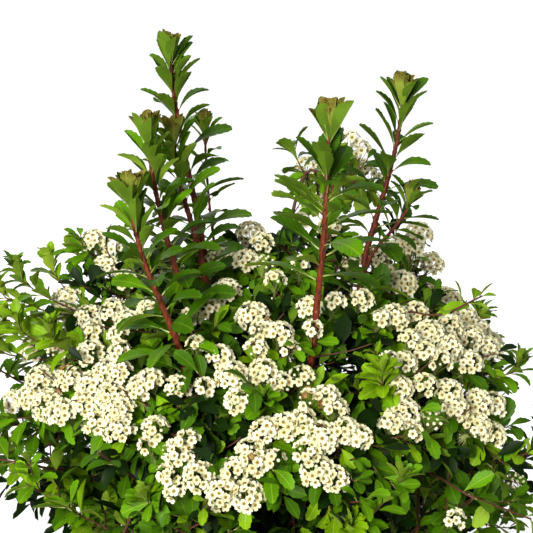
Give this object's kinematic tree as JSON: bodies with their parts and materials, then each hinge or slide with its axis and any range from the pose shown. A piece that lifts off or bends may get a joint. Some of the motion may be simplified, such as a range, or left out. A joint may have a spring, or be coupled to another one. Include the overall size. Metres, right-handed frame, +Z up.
{
  "type": "spirea shrub",
  "caption": "Low rooted flowering shrub: upright leafy red shoots over a mound of arching canes lined with flat cream flower clusters.",
  "frame": {"origin": "middle of the flat cut under the woody base, at ground level", "axes": "+Z up, the way the upright shoots grow; -Y towards the side that the picture shows; +X to the right in it"},
  "size_m": [0.494, 0.4478, 0.5593],
  "materials": {
    "stool": "rough fissured grey-brown bark",
    "bark": "dull brown bark with light lenticels",
    "red_bark": "smooth red-brown young bark, satin",
    "shoot_leaves": "satin mid green leaves, paler and greyer beneath, bronze at the tips",
    "low_leaves": "satin deep green leaves, paler beneath",
    "blossom": "matt cream petals with olive-brown centres"
  },
  "bodies": {
    "root": {"stool": "stool", "cane_centre": "bark", "cane_centre_east": "bark", "cane_east": "bark", "cane_low_east": "bark", "cane_low_south": "bark", "cane_low_west": "bark", "cane_north": "bark", "cane_north_east": "bark", "cane_north_west": "bark", "cane_south": "bark", "cane_south_east": "bark", "cane_south_west": "bark", "cane_west_high": "bark", "cane_west_low": "bark", "shoot_front_east": "red_bark", "shoot_inner_west": "red_bark", "shoot_middle_west": "red_bark", "shoot_outer_west": "red_bark", "shoot_tall_east": "red_bark", "shoot_tall_west": "red_bark", "leaves_back_east": "shoot_leaves", "leaves_back_west": "shoot_leaves", "leaves_front_east": "shoot_leaves", "leaves_inner_west": "shoot_leaves", "leaves_middle_west": "shoot_leaves", "leaves_outer_west": "shoot_leaves", "leaves_side_east": "shoot_leaves", "leaves_tall_east": "shoot_leaves", "leaves_tall_west": "shoot_leaves", "leaves_low_east": "low_leaves", "leaves_low_north_east": "low_leaves", "leaves_low_north_west": "low_leaves", "leaves_low_south_east": "low_leaves", "leaves_low_south_west": "low_leaves", "leaves_low_west": "low_leaves", "spray_back_centre": "blossom", "spray_back_east_high": "blossom", "spray_back_east_low": "blossom", "spray_back_tall": "blossom", "spray_back_west_high": "blossom", "spray_back_west_low": "blossom", "spray_centre_high": "blossom", "spray_centre_low": "blossom", "spray_crown_east": "blossom", "spray_east_peak": "blossom", "spray_east_shoulder": "blossom", "spray_east_skirt": "blossom", "spray_east_slope": "blossom", "spray_east_upper": "blossom", "spray_front_left": "blossom", "spray_front_middle": "blossom", "spray_front_right": "blossom", "spray_front_slope": "blossom", "spray_west_peak": "blossom", "spray_west_shoulder": "blossom", "spray_west_skirt": "blossom", "spray_west_upper": "blossom"}
  },
  "joints": []
}
